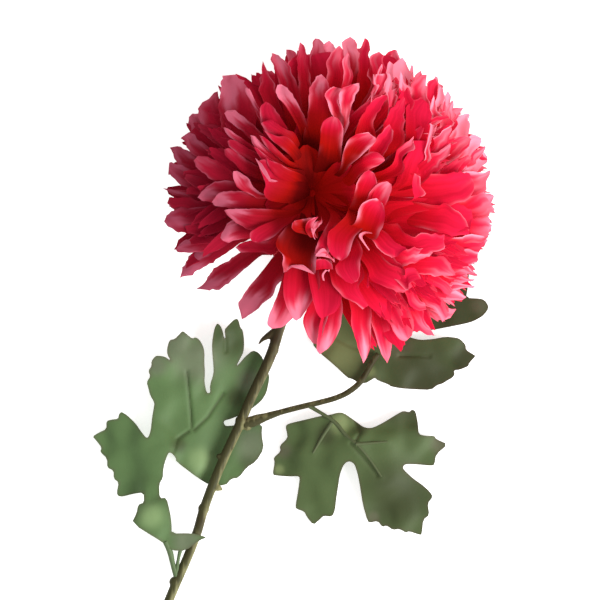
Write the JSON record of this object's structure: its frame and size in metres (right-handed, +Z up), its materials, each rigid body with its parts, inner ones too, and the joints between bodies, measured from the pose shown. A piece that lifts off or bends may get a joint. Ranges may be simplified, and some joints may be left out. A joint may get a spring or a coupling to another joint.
{
  "type": "disbud chrysanthemum",
  "caption": "Large red chrysanthemum bloom of layered petals on a cut stem, lying down face up, with a thin side branch and lobed green leaves.",
  "frame": {"origin": "on the surface that the flower lies on, under the middle of its bounding box", "axes": "+X to the right across the bloom's face, +Y from the cut end of the stem to the bloom, +Z up through the bloom's face"},
  "size_m": [0.1741, 0.3221, 0.1017],
  "materials": {
    "petals": "matt velvety petal",
    "stems": "satin stem skin",
    "leaves": "matt leaf blade"
  },
  "bodies": {
    "root": {"bloom": "petals", "calyx": "leaves", "stem": "stems", "side_branch": "stems", "leaf_left": "leaves", "leaf_lower_right": "leaves", "leaf_upper_right": "leaves", "leaf_behind_bloom": "leaves"}
  },
  "joints": []
}
